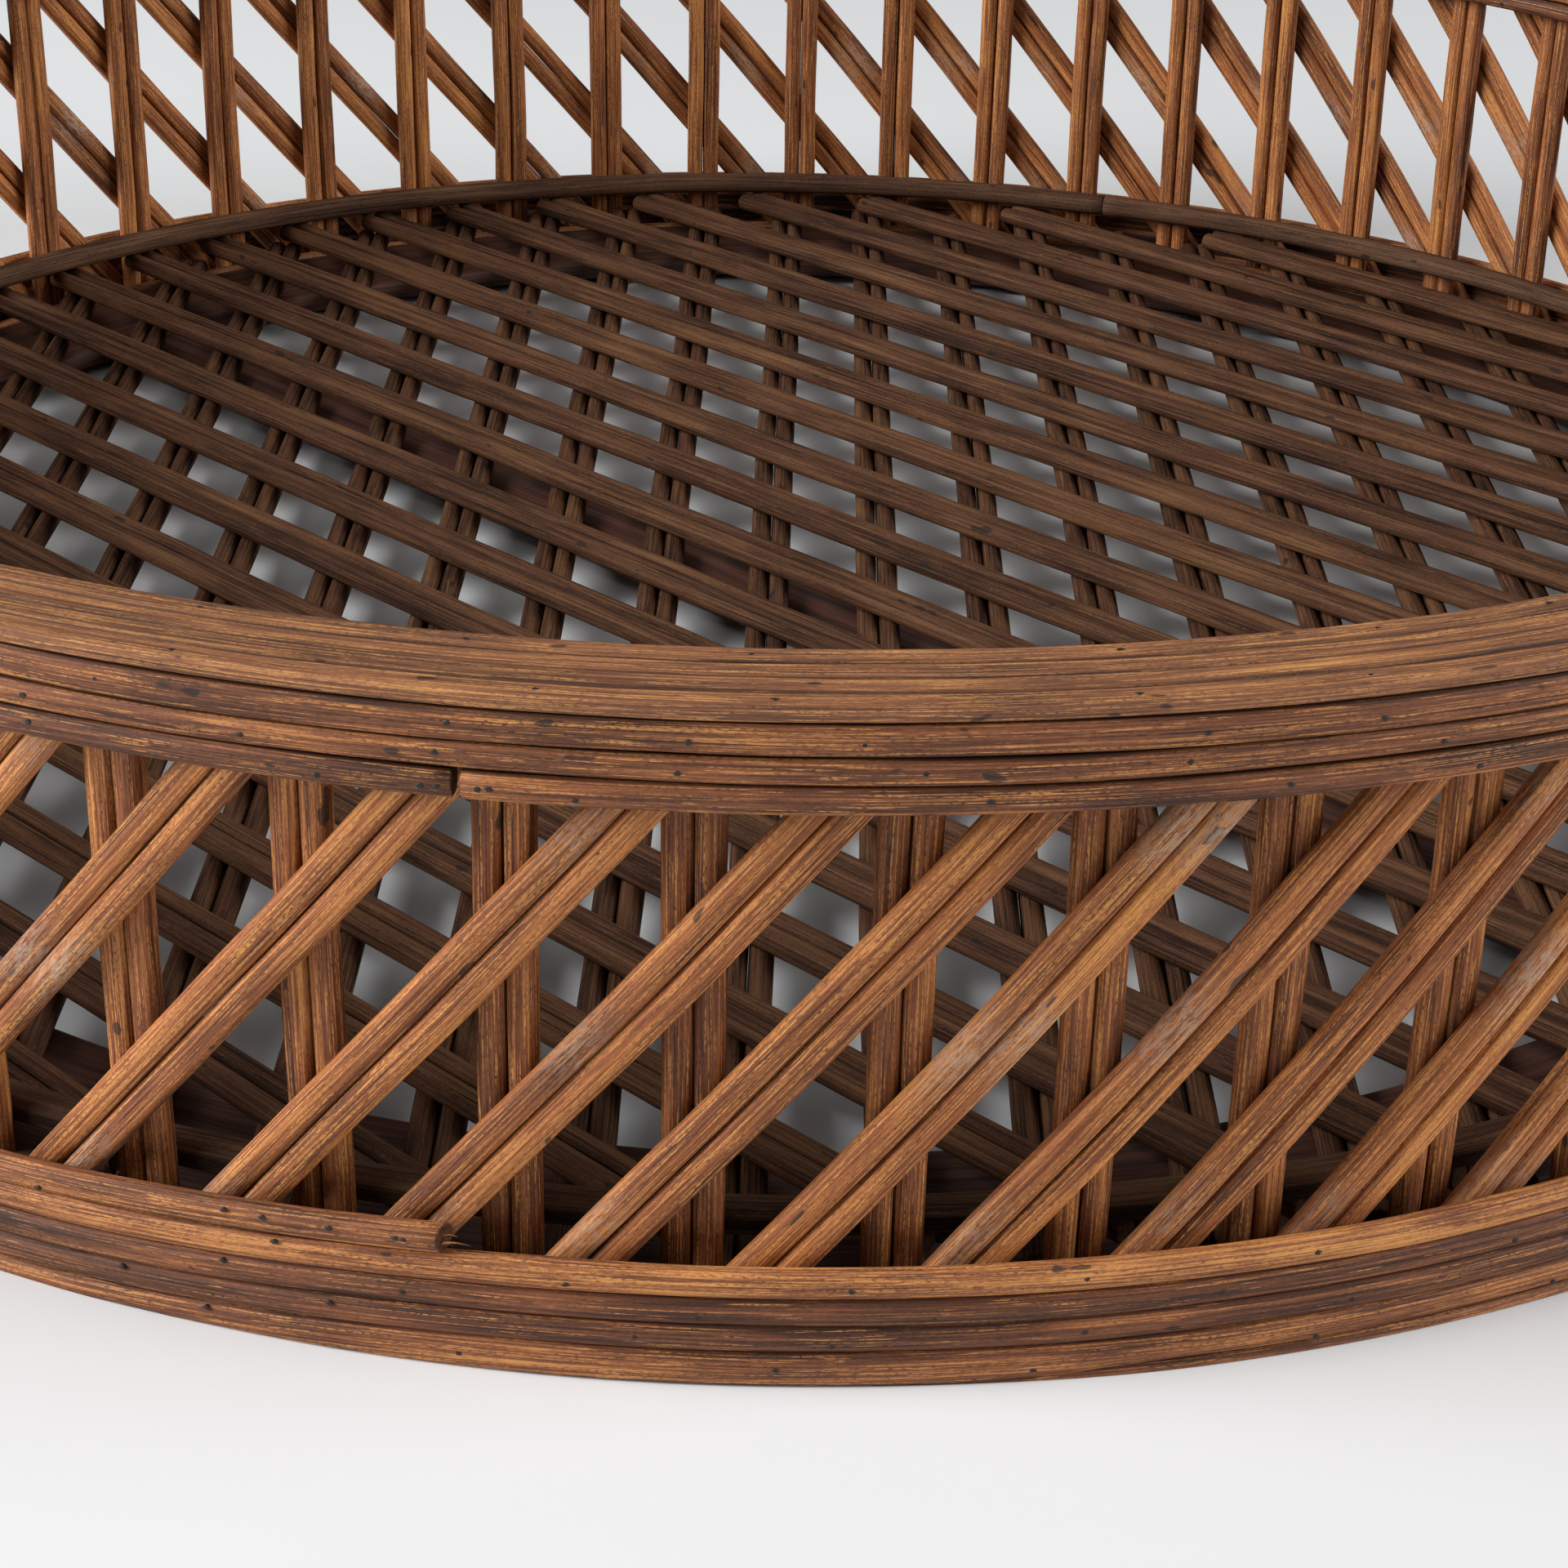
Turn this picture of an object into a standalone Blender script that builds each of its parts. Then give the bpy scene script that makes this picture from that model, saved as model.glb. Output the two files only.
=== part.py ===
"""Round openwork tray basket made of nailed cane reeds.

The wall is a ring of upright reed pairs with a second layer of slanting pairs
outside it. Hoops bind both layers at the rim and at the foot. The floor is two
crossing layers of reed pairs on a flat ring and one flat batten.
Metres, +Z up, the foot stands on z = 0, the basket's axis is the Z axis.
"""
import math

import bmesh
import bpy
from mathutils import Matrix

# Overall size
OUTER_R = 0.2600
GAP = 0.0003
SEGMENTS = 60

# Radial layers of the wall, from the outside in
OUTER_HOOP_IN = 0.2564
SLANT_OUT = 0.2557
SLANT_IN = 0.2522
STAKE_OUT = 0.2517
STAKE_IN = 0.2481
INNER_HOOP_OUT = 0.2475
INNER_HOOP_IN = 0.2435

# Heights of the seams between the rim hoops, from the flat top down
RIM_SEAMS = (0.1003, 0.0977, 0.0931, 0.0892, 0.0852)
RIM_FILLER_LOW = 0.0965

# Heights of the grooves of the foot band, from the ground up
FOOT_SEAMS = (0.0, 0.0050, 0.0093, 0.0135, 0.0177)
FOOT_TAIL_TOP = 0.0219

# Ends of reeds, as azimuths in degrees from -Y towards +X
FOOT_TAIL_END = -9.4
FOOT_TAIL_ARC = 140.0
RIM_JOINT_AT = -8.7
RIM_JOINT_GAP = 0.22

# Wall reeds
STAKE_PAIRS = 60
STAKE_SHIFT = 1.6
STAKE_SWAY = 2.06
PAIR_WIDTH = 0.0085
STAKE_FOOT_Z = 0.0006
SLANT_FOOT_Z = 0.0020
SLANT_SPAN = 3.03
SLANT_LEVELS = 5
SLANT_LEAN = math.radians(49.0)

# Floor
FLOOR_END_R = 0.2472
LOWER_PAIRS = 22
LOWER_Z = (0.0069, 0.0109)
LOWER_ANGLE = 89.5
LOWER_PITCH = 0.0219
LOWER_OFFSET = -0.0080
UPPER_PAIRS = 22
UPPER_Z = (0.0112, 0.0152)
UPPER_ANGLE = -44.0
UPPER_PITCH = 0.0218
UPPER_OFFSET = 0.0040
FLOOR_HOOP_Z = (0.0155, 0.0199)

# Under the floor
RING_IN = 0.2130
RING_OUT = 0.2432
RING_Z = (0.0016, 0.0066)
FOOT_LINER_Z = (0.0010, 0.0066)
BATTEN_WIDTH = 0.0220
BATTEN_LENGTH = 0.4226
BATTEN_OFFSET = -0.0070


def clear_scene():
    """Removes the startup objects."""
    for item in list(bpy.data.objects):
        bpy.data.objects.remove(item, do_unlink=True)


def material(name, colour, roughness):
    """A plain material of one colour."""
    made = bpy.data.materials.new(name)
    made.use_nodes = True
    shader = made.node_tree.nodes["Principled BSDF"]
    shader.inputs["Base Color"].default_value = (*colour, 1.0)
    shader.inputs["Roughness"].default_value = roughness
    return made


def finish(name, shape, colour):
    """Turns a bmesh into a named node with its own material."""
    bmesh.ops.remove_doubles(shape, verts=shape.verts, dist=0.000005)
    bmesh.ops.recalc_face_normals(shape, faces=shape.faces)
    mesh = bpy.data.meshes.new(name)
    shape.to_mesh(mesh)
    shape.free()
    node = bpy.data.objects.new(name, mesh)
    BASKET.objects.link(node)
    mesh.materials.append(material(name, colour, 0.6))
    return node


def at(radius, azimuth, height):
    """A point by radius, azimuth in degrees from -Y towards +X, and height."""
    turn = math.radians(azimuth)
    return (radius * math.sin(turn), -radius * math.cos(turn), height)


def hoop(name, section, colour, start=0.0, sweep=360.0):
    """Spins a section of (radius, height) corners round the Z axis."""
    shape = bmesh.new()
    corners = [shape.verts.new(at(radius, start, height)) for radius, height in section]
    face = shape.faces.new(corners)
    whole = sweep >= 360.0
    geometry = list(face.edges) if whole else [face]
    if whole:
        shape.faces.remove(face)
    bmesh.ops.spin(
        shape,
        geom=geometry,
        axis=(0.0, 0.0, 1.0),
        cent=(0.0, 0.0, 0.0),
        angle=math.radians(sweep),
        steps=max(2, round(SEGMENTS * sweep / 360.0)),
        use_merge=whole,
        use_duplicate=False,
    )
    return finish(name, shape, colour)


def reed_section(inner, outer, low, high):
    """The six-sided outline of one bent reed."""
    edge = 0.22 * (outer - inner)
    middle = 0.5 * (low + high)
    return (
        (inner, middle),
        (inner + edge, low),
        (outer - edge, low),
        (outer, middle),
        (outer - edge, high),
        (inner + edge, high),
    )


def sanded_section(inner, outer, low, high, outside):
    """The lower half of a reed with its top sanded flat, rounded on one side."""
    edge = 0.22 * (outer - inner)
    soft = 0.0009
    section = [(inner + edge, low), (outer - edge, low), (outer, high - soft)]
    if outside:
        section += [(outer - soft, high), (inner, high)]
    else:
        section += [(outer, high), (inner + soft, high), (inner, high - soft)]
    return section


def stake_azimuth(index):
    """Azimuth of an upright pair: even spacing with a slow drift from the hand."""
    even = index * 360.0 / STAKE_PAIRS
    return even + STAKE_SHIFT + STAKE_SWAY * math.cos(math.radians(even))


def turn_on(shape, edges, angle):
    """Sweeps a ring section's edges on by an angle, and gives the edges it ends at."""
    made = bmesh.ops.spin(
        shape,
        geom=edges,
        axis=(0.0, 0.0, 1.0),
        cent=(0.0, 0.0, 0.0),
        angle=math.radians(angle),
        steps=1,
    )
    return [item for item in made["geom_last"] if isinstance(item, bmesh.types.BMEdge)]


def comb(name, inner, outer, foot_z, half_width, span, levels, colour):
    """A closing hoop with one reed pair hanging from it at each stake place."""
    shape = bmesh.new()
    top = RIM_SEAMS[0]
    section = ((inner, RIM_FILLER_LOW), (outer, RIM_FILLER_LOW), (outer, top), (inner, top))
    start = stake_azimuth(0) - half_width
    corners = [shape.verts.new(at(radius, start, height)) for radius, height in section]
    edges = [shape.edges.new((corners[i - 1], corners[i])) for i in range(4)]
    for index in range(STAKE_PAIRS):
        space = stake_azimuth(index + 1) - stake_azimuth(index) - 2.0 * half_width
        edges = turn_on(shape, edges, 2.0 * half_width)
        edges = turn_on(shape, edges, space)
    bmesh.ops.remove_doubles(shape, verts=shape.verts, dist=0.000005)
    bmesh.ops.recalc_face_normals(shape, faces=shape.faces)
    under = [face for face in shape.faces if face.normal.z < -0.9]
    under.sort(key=lambda face: face.calc_area())
    tips = under[:STAKE_PAIRS]
    drop = (foot_z - RIM_FILLER_LOW) / levels
    pitch = 2.0 * math.pi / STAKE_PAIRS
    turn = Matrix.Rotation(-span * pitch / levels, 3, "Z")
    for _ in range(levels):
        tips = bmesh.ops.extrude_discrete_faces(shape, faces=tips)["faces"]
        corners = list({corner for face in tips for corner in face.verts})
        bmesh.ops.translate(shape, verts=corners, vec=(0.0, 0.0, drop))
        bmesh.ops.rotate(shape, verts=corners, cent=(0.0, 0.0, 0.0), matrix=turn)
    return finish(name, shape, colour)


def floor_pair(name, angle, offset, heights, colour):
    """One straight pair of floor reeds, cut to reach the wall at both ends."""
    half = 0.5 * PAIR_WIDTH
    low, high = heights
    middle = 0.5 * (low + high)
    edge = 0.0013
    outline = (
        (-half, middle),
        (-half + edge, low),
        (half - edge, low),
        (half, middle),
        (half - edge, high),
        (-half + edge, high),
    )
    reach = math.sqrt(FLOOR_END_R**2 - (abs(offset) + half) ** 2)
    turn = math.radians(angle)
    along = (math.cos(turn), math.sin(turn))
    across = (-math.sin(turn), math.cos(turn))
    shape = bmesh.new()
    corners = []
    for shift, height in outline:
        x = across[0] * (offset + shift) - along[0] * reach
        y = across[1] * (offset + shift) - along[1] * reach
        corners.append(shape.verts.new((x, y, height)))
    face = shape.faces.new(corners)
    made = bmesh.ops.extrude_face_region(shape, geom=[face])
    moved = [item for item in made["geom"] if isinstance(item, bmesh.types.BMVert)]
    step = (2.0 * reach * along[0], 2.0 * reach * along[1], 0.0)
    bmesh.ops.translate(shape, verts=moved, vec=step)
    return finish(name, shape, colour)


def floor_layer(prefix, count, pitch, angle, shift, heights, colour):
    """A row of parallel floor pairs at one pitch."""
    for index in range(count):
        offset = shift + (index - 0.5 * (count - 1)) * pitch
        floor_pair(f"{prefix}_{index + 1:02d}", angle, offset, heights, colour)


def foot_band_section():
    """Four reeds wound on each other, as one grooved outline standing on a flat."""
    groove = 0.0013
    lip = 0.0011
    section = [(OUTER_HOOP_IN, FOOT_SEAMS[0]), (OUTER_R - groove, FOOT_SEAMS[0])]
    for low, high in zip(FOOT_SEAMS[:-1], FOOT_SEAMS[1:]):
        section.append((OUTER_R, low + lip))
        section.append((OUTER_R, high - lip))
        section.append((OUTER_R - groove, high))
    section.append((OUTER_HOOP_IN, FOOT_SEAMS[-1]))
    return section


def join(node, tool):
    """Joins a helper solid to a node."""
    union = node.modifiers.new("join", "BOOLEAN")
    union.operation = "UNION"
    union.solver = "EXACT"
    union.object = tool
    BASKET.objects.unlink(tool)
    TOOLS.objects.link(tool)
    tool.hide_render = True
    tool.display_type = "WIRE"


clear_scene()
BASKET = bpy.data.collections.new("tray_basket")
TOOLS = bpy.data.collections.new("joining_tools")
TOOLS.hide_render = True
for group in (BASKET, TOOLS):
    bpy.context.scene.collection.children.link(group)

HOOP_BROWN = (0.20, 0.085, 0.038)
WALL_BROWN = (0.24, 0.105, 0.045)
SLANT_BROWN = (0.27, 0.120, 0.050)
FLOOR_BROWN = (0.13, 0.060, 0.032)
BOARD_BROWN = (0.10, 0.040, 0.022)

# Rim: four hoops outside and four inside, the top ones sanded flat
for row in range(4):
    high = RIM_SEAMS[row]
    low = RIM_SEAMS[row + 1]
    if row:
        high -= 0.5 * GAP
    if row < 3:
        low += 0.5 * GAP
    if row == 0:
        outer_section = sanded_section(OUTER_HOOP_IN, OUTER_R, low, high, True)
        inner_section = sanded_section(INNER_HOOP_IN, INNER_HOOP_OUT, low, high, False)
    else:
        outer_section = reed_section(OUTER_HOOP_IN, OUTER_R, low, high)
        inner_section = reed_section(INNER_HOOP_IN, INNER_HOOP_OUT, low, high)
    if row == 3:
        opening = RIM_JOINT_AT + 0.5 * RIM_JOINT_GAP
        hoop("rim_outer_hoop_4", outer_section, HOOP_BROWN, opening, 360.0 - RIM_JOINT_GAP)
    else:
        hoop(f"rim_outer_hoop_{row + 1}", outer_section, HOOP_BROWN)
    hoop(f"rim_inner_hoop_{row + 1}", inner_section, HOOP_BROWN)

# Wall: upright pairs and slanting pairs, each hanging from the hoop that closes its top
stake_half = math.degrees(0.5 * PAIR_WIDTH / STAKE_OUT)
slant_half = math.degrees(0.5 * PAIR_WIDTH / math.sin(SLANT_LEAN) / SLANT_OUT)
comb("wall_uprights", STAKE_IN, STAKE_OUT, STAKE_FOOT_Z, stake_half, 0.0, 1, WALL_BROWN)
comb(
    "wall_slants",
    SLANT_IN,
    SLANT_OUT,
    SLANT_FOOT_Z,
    slant_half,
    SLANT_SPAN,
    SLANT_LEVELS,
    SLANT_BROWN,
)

# Foot: one reed wound four times round, its end running on above the fourth turn
foot_band = hoop("foot_band", foot_band_section(), HOOP_BROWN)
tail_section = reed_section(OUTER_HOOP_IN, OUTER_R, FOOT_SEAMS[-1] - 0.0004, FOOT_TAIL_TOP)
tail = hoop(
    "foot_band_tail", tail_section, HOOP_BROWN, FOOT_TAIL_END - FOOT_TAIL_ARC, FOOT_TAIL_ARC
)
join(foot_band, tail)
hoop(
    "foot_liner_hoop",
    reed_section(INNER_HOOP_IN, INNER_HOOP_OUT, *FOOT_LINER_Z),
    HOOP_BROWN,
)

# Under the floor: a flat ring and one flat batten across it
hoop(
    "under_floor_ring",
    (
        (RING_IN, RING_Z[0]),
        (RING_OUT, RING_Z[0]),
        (RING_OUT, RING_Z[1]),
        (RING_IN, RING_Z[1]),
    ),
    BOARD_BROWN,
)
batten_shape = bmesh.new()
bmesh.ops.create_cube(batten_shape, size=1.0)
bmesh.ops.scale(
    batten_shape,
    vec=(BATTEN_LENGTH, BATTEN_WIDTH, RING_Z[1] - RING_Z[0]),
    verts=batten_shape.verts,
)
batten = finish("under_floor_batten", batten_shape, BOARD_BROWN)
batten_turn = math.radians(UPPER_ANGLE)
batten.rotation_euler = (0.0, 0.0, batten_turn)
batten.location = (
    -math.sin(batten_turn) * BATTEN_OFFSET,
    math.cos(batten_turn) * BATTEN_OFFSET,
    0.5 * (RING_Z[0] + RING_Z[1]),
)

# Floor: two crossing layers of pairs, and the hoop that holds their ends down
floor_layer(
    "floor_lower_pair",
    LOWER_PAIRS,
    LOWER_PITCH,
    LOWER_ANGLE,
    LOWER_OFFSET,
    LOWER_Z,
    FLOOR_BROWN,
)
floor_layer(
    "floor_upper_pair",
    UPPER_PAIRS,
    UPPER_PITCH,
    UPPER_ANGLE,
    UPPER_OFFSET,
    UPPER_Z,
    FLOOR_BROWN,
)
hoop(
    "floor_edge_hoop",
    reed_section(INNER_HOOP_IN, INNER_HOOP_OUT, *FLOOR_HOOP_Z),
    HOOP_BROWN,
)
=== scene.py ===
"""Looks of the round openwork reed tray basket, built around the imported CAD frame.

Every hoop, wall reed and floor reed of the CAD is made again as its own round cane
reed: an irregular oval swept along the reed's path, with the attributes that the cane
materials read. Lengths are in metres. Azimuths go from -Y towards +X, in radians.
"""

import math
import random

import bpy
import numpy as np
from mathutils import Matrix, Vector


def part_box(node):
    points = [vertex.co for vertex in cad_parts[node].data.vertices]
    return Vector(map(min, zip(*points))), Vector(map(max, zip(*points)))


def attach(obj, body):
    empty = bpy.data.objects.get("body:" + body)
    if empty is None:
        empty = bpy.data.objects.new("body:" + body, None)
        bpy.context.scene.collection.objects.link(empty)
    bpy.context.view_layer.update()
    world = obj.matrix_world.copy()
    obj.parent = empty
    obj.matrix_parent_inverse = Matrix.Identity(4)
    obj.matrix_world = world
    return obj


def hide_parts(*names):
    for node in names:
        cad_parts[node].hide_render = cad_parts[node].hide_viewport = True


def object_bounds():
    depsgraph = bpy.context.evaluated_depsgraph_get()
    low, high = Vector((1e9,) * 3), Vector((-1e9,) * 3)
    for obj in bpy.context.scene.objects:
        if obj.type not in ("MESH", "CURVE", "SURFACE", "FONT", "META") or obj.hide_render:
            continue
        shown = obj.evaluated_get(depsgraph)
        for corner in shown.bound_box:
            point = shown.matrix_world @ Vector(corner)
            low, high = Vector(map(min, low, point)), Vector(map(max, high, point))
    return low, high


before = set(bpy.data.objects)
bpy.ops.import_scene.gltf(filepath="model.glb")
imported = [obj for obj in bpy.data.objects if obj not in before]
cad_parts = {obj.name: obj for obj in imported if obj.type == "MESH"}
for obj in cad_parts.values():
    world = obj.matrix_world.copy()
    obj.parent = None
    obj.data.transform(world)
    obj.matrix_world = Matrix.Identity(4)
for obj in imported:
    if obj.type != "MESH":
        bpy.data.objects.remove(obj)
cad_low, cad_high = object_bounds()

FULL_TURN = 2.0 * math.pi

# Mesh detail
HOOP_STATIONS = 400
HOOP_SIDES = 18
WALL_STATIONS = 44
WALL_SIDES = 16
FLOOR_STEP = 0.008
FLOOR_SIDES = 12
LEAST_STATIONS = 4
BOARD_STATIONS = 40
BOARD_SIDES = 24
SPLINTER_STATIONS = 6
SPLINTER_SIDES = 6

# Seeds of the random draws
RIM_SEED = 11
FILLER_SEED = 17
WALL_SEED = 23
FOOT_SEED = 37
HIDDEN_SEED = 41
FLOOR_SEED = 53
BOARD_SEED = 67
BRAD_SEED = 79

# How square an outline is: 2 is an ellipse, and a higher number is squarer
ELLIPSE = 2.0
WOUND = 2.15
ROUND = 2.3
FLATTISH = 2.7
SQUARISH = 3.6
SAWN = 9.0

# Reed sizes. The shares of a reed's width are drawn between two ends.
REED_WIDTH = 0.00418
PAIR_SPREAD = 0.00209
WALL_WIDTHS = (0.985, 1.02)
FLOOR_WIDTHS = (0.975, 1.015)
FOOT_THICKNESS = 0.0036

# What the floor-edge hoop is stouter by, and what each side of the ring board loses
EDGE_MORE = 0.0007
BOARD_LESS = 0.0001

# Cut ends: the bevel's length, the end's size, the dirt on it, and the loose end's slant
CUT_END = 0.00025
CUT_END_SIZE = 0.88
CUT_END_DIRT = 0.8
CUT_SLANT = 0.42

# A slow wander: how many waves, how much shorter each one is, and how their lengths vary
DRIFT_WAVES = 3
DRIFT_SHORTER = 0.9
DRIFT_SPREAD = (0.8, 1.25)

# Wanders of the reeds: (amount, wave length). The first is a share of the reed's size.
REED_SCALE = (0.012, 0.07)
HOOP_OUT = (0.00006, 0.11)
HOOP_UP = (0.00007, 0.14)
SANDED_UP = (0.00004, 0.14)
SANDED_TOP = (0.00004, 0.05)
WALL_PAIR_SIDE = (0.00010, 0.10)
WALL_REED_SIDE = (0.00002, 0.06)
WALL_REED_OUT = (0.00005, 0.08)
FOOT_UP = (0.00005, 0.14)
FOOT_OUT = (0.00005, 0.11)
FLOOR_PAIR_SIDE = (0.00012, 0.20)
FLOOR_REED_SIDE = (0.00006, 0.15)
FLOOR_REED_UP = (0.00005, 0.12)

# Directions in an outline, and how near its half size a contact collects dirt and painted
# shade
BELOW, ABOVE, INWARD, OUTWARD = (0.0, -1.0), (0.0, 1.0), (-1.0, 0.0), (1.0, 0.0)
CONTACT_SHARES = (0.84, 1.0)

# Grain and stain of one reed: where in the grain it starts, and how much its stain varies
GRAIN_STARTS = 40.0
TONE_SPREAD = 0.65

# Reading the CAD's corners
DIGITS = 4  # decimals that count when readings are compared
NEAR = 0.0001  # heights this close are one level
PAIR_BREAK = math.radians(3.0)  # the ends of one pair are closer than this
FILLER_DEPTH = 0.002  # a filler's underside is farther than this below its top
JOINT_SEARCH = math.radians(12.0)  # the open joint is this close to the front
CLEAR_OF_END = 0.05  # right of this x, the foot has no loose end
GROOVE_DEPTH = 0.0008  # a groove is at least this much inside the outer radius
TAIL_ABOVE = 0.0190  # only the loose end reaches above this height

# Rim
RIM_ROWS = (1, 2, 3, 4)
SQUARISH_ROWS = (1, 2)
BRAD_ROWS = (2, 3, 4)
JOINTED_HOOP = "rim_outer_hoop_4"

# Hoops: half the gap of a butt joint and the azimuths of the joints at the back in
# radians, how far stacked reeds and fillers press into their neighbours, and a top
# reed's height before sanding, as a share
BUTT_GAP = 0.0001
BACK_JOINTS = (1.8, 4.4)
PRESSED = 0.0001
FILLER_MORE = 0.0002
BEFORE_SANDING = 1.25

# Stain of the rim's rows from the top down, and how it varies
RIM_TONES = (0.0, -0.5, -0.5, -1.2)
RIM_TONE_SPREAD = (-0.2, 0.2)
FILLER_TONE_SPREAD = (-0.6, -0.2)

# The slanting reeds turn this far from foot to head, and their ends wander by hand, in
# three waves round the basket. Sways are in radians.
SLANT_TURN = math.radians(18.18)
WANDER_WAVES = 3.0
HEAD_WANDER = math.radians(1.12)
HEAD_WANDER_AT = math.radians(3.3)
FOOT_WANDER = math.radians(1.1)
FOOT_WANDER_AT = math.radians(-5.0)
UPRIGHT_SWAY = 0.0012
SLANT_SWAY = 0.0015

# Hand spacing near the front: (azimuth, shift) in degrees, linear in between
STAKE_SHIFTS = (
    (-45, 0.0),
    (-20, 0.47),
    (-6, 0.39),
    (-2, -0.12),
    (4, 0.0),
    (8, -0.17),
    (13, -0.38),
    (18, -0.69),
    (40, 0.0),
)
SLANT_SHIFTS = (
    (-45, 0.0),
    (-20, 0.42),
    (-10, 0.40),
    (-5, 0.2),
    (0, 0.25),
    (8, 0.7),
    (15, 0.25),
    (28, 0.0),
)

# Worn spots of a slanting reed: how many uprights it crosses, the chance that it is worn
# at one, the shift and strength of a spot, and its length
CROSSINGS = 3
WORN_CHANCE = 0.45
WORN_SHIFTS = (-0.03, 0.03)
WORN_STRENGTHS = (0.3, 1.0)
WORN_LENGTH = 0.006

# The foot reed is wound with this rise per turn, and its underside is sanded level.
# Its last bit, within the reach in radians, runs out to a thin point that is set back.
FOOT_PITCH = 0.0042
FOOT_PRESSED = 0.00008
WEDGE_START = math.radians(3.0)
WEDGE_FULL = math.radians(13.0)
POINT_INSET = 0.0006
POINT_THICKNESS = 0.0001
POINT_REACH = 1.0

# The lowest turn's lower half is stretched to this many times its height above the
# ground, then cut level. The loose end is round up to the first of these angles from its
# tip, and pressed from the second on.
LOWEST_STRETCH = 1.7
LOOSE_ANGLES = (1.2, 2.6)

# The winding sags from left of the front round to the right side, by angles counted
# leftwards from the front
SAG_NEAR = math.radians(5.0)
SAG_FULL = math.radians(28.0)
SAG_FADE = math.radians(180.0)
SAG_END = math.radians(300.0)
SAG_DEPTH = 0.0030

# Painted light and shade of the foot reed after each turn from its loose end: lighter at the
# top turn where the top light falls, darkest in the middle, lighter again towards the bottom
FOOT_PAINTED_LIGHT_TONES = (0.2, 2.0, -2.6, -2.0, 0.2, 0.0)

# Splinters at the loose end: (level, distance outwards, length, thickness), how far they
# start inside the reed, their rise and their shape
SPLINTERS = (
    (-0.0003, 0.0009, 0.0042, 0.00042),
    (0.0004, 0.0002, 0.0021, 0.00030),
    (-0.0010, 0.0004, 0.0016, 0.00030),
)
SPLINTER_ROOT = 0.0010
SPLINTER_RISE = 0.0003
SPLINTER_WAVE = 3.0
SPLINTER_TAPER = 0.75
SPLINTER_HALVES = (0.5, 0.35)

# The ring board's joint and half its gap, in radians
RING_JOINT = 0.4
RING_GAP = 0.0001

# One brad's head: (share of its radius, height, tear) of its rings from inside the reed
# outwards, how far each ring has the colour of torn fibres, and the tear's shape
BRAD_RADIUS = 0.00027
BRAD_SIDES = 12
BRAD_RINGS = ((0.75, -0.0006, 0.0), (1.0, 0.00001, 1.0), (0.9, 0.00006, 0.0))
BRAD_TORN = (1.0, 1.0, 0.0)
TORN_SIZES = (0.9, 1.7)
TORN_STRETCH = 0.5

# Numbers of brads round a hoop, how far each row's first one is shifted, how much they
# stray in radians and in height, and the brads beside the joint and along the loose end,
# with the height of the last ones as a share of the foot's rise per turn
RIM_BRADS = 52
TOP_BRADS = 44
FOOT_BRADS = 46
RIM_OUTER_START = 0.03
RIM_INNER_START = 0.04
FOOT_START = 0.05
BRAD_STRAY = 0.03
BRAD_STRAY_UP = 0.0006
PLACED_STRAY_UP = 0.0002
JOINT_BRADS = (-0.0044, -0.0023, 0.0028, 0.0042)
TAIL_BRADS = (0.0059, 0.0070, 0.0162, 0.0255, 0.0312)
TAIL_BRAD_SHARE = 0.45

# Sockets of the Mix node when it mixes colours
MIX_INPUTS = (0, 6, 7)
MIX_OUTPUT = 2

# Noises of the cane: waves per metre along and across the reed, detail and roughness
CANE_NOISES = {
    "fibres": (30.0, 2300.0, 5.0, 0.7),
    "speckle": (1300.0, 3600.0, 3.0, 0.65),
    "bands": (14.0, 480.0, 3.0, 0.55),
    "clouds": (36.0, 130.0, 3.0, 0.55),
    "long_streaks": (22.0, 3300.0, 2.0, 0.5),
    "dashes": (100.0, 4500.0, 2.0, 0.5),
    "pores": (520.0, 3800.0, 1.0, 0.5),
    "blotches": (150.0, 380.0, 1.0, 0.4),
    "scuffs": (500.0, 1900.0, 4.0, 0.7),
}

# The stain's level is a mix of noises and the reed's tone, and picks among four colours
LEVEL_SHARES = (("fibres", 0.48), ("speckle", 0.11), ("bands", 0.21), ("clouds", 0.20))
TONE_SHARE = 0.020
STAIN_STOPS = (0.40, 0.475, 0.535, 0.63)

# Pale streaks: their strengths, the noise values between which they set in, how far the
# share of pale streaks and the tone move those, and the speckle that breaks them up
STREAK_STRENGTHS = (("long_streaks", 0.62), ("dashes", 0.75))
STREAK_LEVELS = (0.61, 0.67)
PALE_SHIFT = 0.06
STREAK_TONE = 0.9
SPECKLE_LEVELS = (0.34, 0.56)

# Dark pores, rare dark blotches, grooves darkened by dirt and painted shade, and scuffs:
# levels, strengths and colours
PORE_LEVELS = (0.64, 0.71)
PORE_STRENGTH = 0.32
BLOTCH_LEVELS = (0.745, 0.775)
BLOTCH_STRENGTH = 0.75
BLOTCH = (0.016, 0.015, 0.015)
GROOVE_SHARE = 0.16
SCUFF_LEVELS = (0.40, 0.60)
SCUFF_STRENGTH = 0.7
SCUFF = (0.50, 0.39, 0.30)

# Roughness and bump. Roughness goes from more to less over these noise values.
SHINE_LEVELS = (0.3, 0.7)
CANE_ROUGHER = 0.10
CANE_SMOOTHER = 0.06
SPECKLE_RIDGES = 0.5
CANE_BUMP = {"Strength": 0.7, "Distance": 0.00018}
BOARD_BUMP = {"Strength": 0.4, "Distance": 0.0002}

# The boards' grain: noises, shares of them, colour stops and roughness
RING_NOISE = (14.0, 420.0, 4.0, 0.6)
FINE_NOISE = (60.0, 2600.0, 2.0, 0.55)
RING_SHARE = 0.65
FINE_SHARE = 0.35
BOARD_STOPS = (0.38, 0.62)
BOARD_ROUGHNESS = (0.75, 0.6)

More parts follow.
